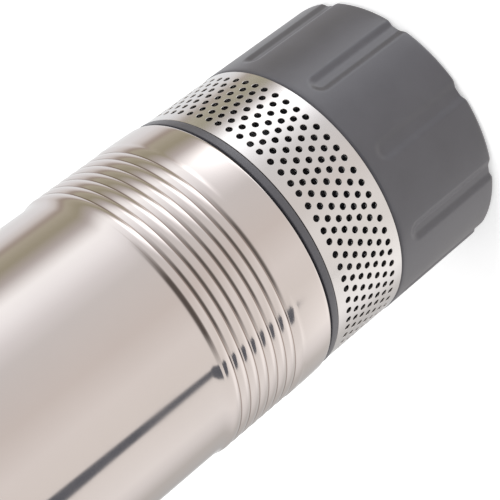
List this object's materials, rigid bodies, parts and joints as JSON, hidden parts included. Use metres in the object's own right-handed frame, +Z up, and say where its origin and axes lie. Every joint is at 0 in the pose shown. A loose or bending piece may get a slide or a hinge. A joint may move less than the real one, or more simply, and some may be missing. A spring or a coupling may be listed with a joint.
{
  "type": "borehole submersible pump",
  "caption": "Slim upright submersible pump: grooved foot, perforated strainer, ridged steel casing, stages and motor inside, threaded outlet, rope ears and cable gland on top.",
  "frame": {"origin": "centre of the foot's rim, where the pump stands", "axes": "+Z up along the shaft, from the foot to the outlet; +Y towards the cable gland; the rope ears lie along X"},
  "size_m": [0.098, 0.098, 0.5188],
  "materials": {
    "polished_steel": "polished stainless steel",
    "satin_steel": "satin stainless steel",
    "grey_plastic": "satin moulded plastic",
    "stage_plastic": "moulded",
    "machined_steel": "machined",
    "brass": "machined",
    "cast_aluminium": "as cast",
    "laminated_steel": "lacquered laminations",
    "lacquered_copper": "lacquered wire",
    "black_rubber": "matte",
    "ceramic": "lapped"
  },
  "bodies": {
    "pump_body": {"foot": "grey_plastic", "foot_screw_1": "machined_steel", "foot_screw_2": "machined_steel", "foot_screw_3": "machined_steel", "foot_screw_4": "machined_steel", "strainer": "satin_steel", "suction_body": "grey_plastic", "casing_seal_lower": "black_rubber", "casing_seal_upper": "black_rubber", "lower_bush": "black_rubber", "casing_tube": "polished_steel", "diffuser_1": "stage_plastic", "diffuser_2": "stage_plastic", "diffuser_3": "stage_plastic", "lower_bracket": "cast_aluminium", "seal_seat": "ceramic", "lip_seal": "black_rubber", "lower_bearing_outer": "machined_steel", "upper_bearing_outer": "machined_steel", "wave_washer": "machined_steel", "upper_bracket": "cast_aluminium", "motor_shell": "satin_steel", "stator_core": "laminated_steel", "lower_winding": "lacquered_copper", "upper_winding": "lacquered_copper", "capacitor": "cast_aluminium", "terminal_block": "grey_plastic", "thermal_protector": "grey_plastic", "motor_cover": "cast_aluminium", "cover_seal": "black_rubber", "cable_conduit": "machined_steel", "discharge_head": "grey_plastic", "outlet_insert": "brass", "valve_seat": "brass", "valve_cage": "brass", "valve_spring": "machined_steel", "gland_bush": "black_rubber", "gland_washer": "machined_steel", "gland_nut": "grey_plastic"},
    "rotor": {"shaft": "machined_steel", "journal_sleeve": "machined_steel", "shaft_nut": "machined_steel", "impeller_1": "stage_plastic", "impeller_2": "stage_plastic", "impeller_3": "stage_plastic", "seal_head": "ceramic", "lower_bearing_inner": "machined_steel", "upper_bearing_inner": "machined_steel", "rotor_core": "laminated_steel", "lower_end_ring": "cast_aluminium", "upper_end_ring": "cast_aluminium"},
    "lower_balls": {"lower_bearing_balls": "machined_steel"},
    "upper_balls": {"upper_bearing_balls": "machined_steel"},
    "valve": {"valve_poppet": "brass", "valve_washer": "black_rubber"}
  },
  "joints": [
    {"name": "shaft_spin", "type": "hinge", "parent": "pump_body", "child": "rotor", "pos_m": [0, 0, 0.2], "axis": [0, 0, 1], "continuous": true},
    {"name": "lower_balls_spin", "type": "hinge", "parent": "pump_body", "child": "lower_balls", "pos_m": [0, 0, 0.2097], "axis": [0, 0, 1], "continuous": true},
    {"name": "upper_balls_spin", "type": "hinge", "parent": "pump_body", "child": "upper_balls", "pos_m": [0, 0, 0.3341], "axis": [0, 0, 1], "continuous": true},
    {"name": "check_valve_lift", "type": "slide", "parent": "pump_body", "child": "valve", "axis": [0, 0, 1], "range_m": [0, 0.005], "stiffness_N_per_m": 60, "springref_m": -0.004, "deforming": ["valve_spring"]}
  ],
  "couplings": [
    {"joint": "lower_balls_spin", "follows": "shaft_spin", "ratio": 0.4},
    {"joint": "upper_balls_spin", "follows": "shaft_spin", "ratio": 0.4}
  ]
}
